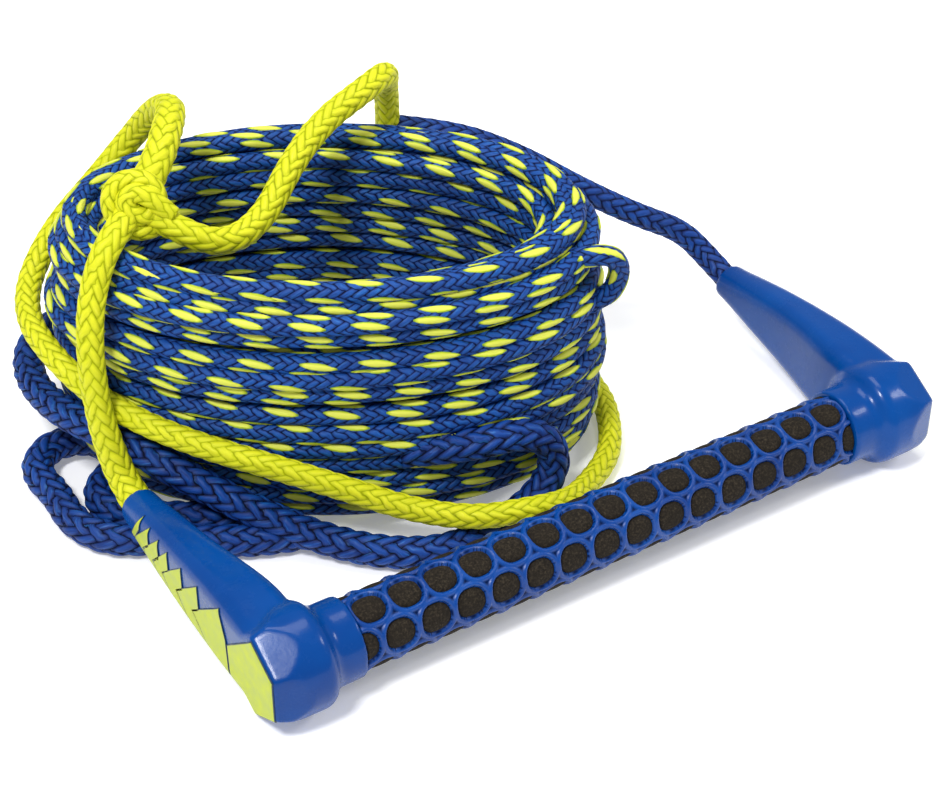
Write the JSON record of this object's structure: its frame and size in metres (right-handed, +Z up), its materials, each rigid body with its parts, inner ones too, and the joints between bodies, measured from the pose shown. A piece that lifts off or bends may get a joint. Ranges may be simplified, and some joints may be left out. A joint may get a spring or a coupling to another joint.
{
  "type": "tow rope handle",
  "caption": "Straight foam and honeycomb grip between two long moulded end caps, with a two-colour rope bridle and its tow line wound into a tall oval coil.",
  "frame": {"origin": "on the floor, under the middle of the handle's own box, ropes and coil left out", "axes": "+X along the grip, +Y from the grip towards the rope exits and the coil, +Z up from the floor"},
  "size_m": [0.3184, 0.2449, 0.1399],
  "materials": {
    "cap_blue": "satin moulded rubbery plastic",
    "skin_blue": "satin moulded net",
    "foam_dark": "fine closed-cell foam",
    "foam_core": "closed-cell foam",
    "plug_grey": "moulded",
    "tube_aluminium": "drawn tube",
    "label_lime": "printed film",
    "rope_yellow": "braided polypropylene",
    "rope_blue": "braided polypropylene",
    "rope_blue_fleck": "braided polypropylene with yellow-green flecks"
  },
  "bodies": {
    "root": {"bar_tube": "tube_aluminium", "bar_foam_core": "foam_core", "grip_foam_sleeve": "foam_dark", "grip_honeycomb_skin": "skin_blue", "bridle_knot": "rope_yellow", "bridle_rope_left": "rope_yellow", "bridle_rope_right": "rope_blue", "bridle_lead": "rope_yellow", "lead_wrap": "rope_yellow", "take_off_loop": "rope_blue", "ground_loop": "rope_blue", "fold_strand": "rope_blue", "side_bight": "rope_blue_fleck", "mainline_coil": "rope_blue_fleck", "end_cap_right": "cap_blue", "end_cap_left": "cap_blue", "tube_plug_right": "plug_grey", "tube_plug_left": "plug_grey", "rope_eye_right": "rope_blue", "rope_eye_left": "rope_yellow", "cap_label_right": "label_lime", "cap_label_left": "label_lime"}
  },
  "joints": []
}
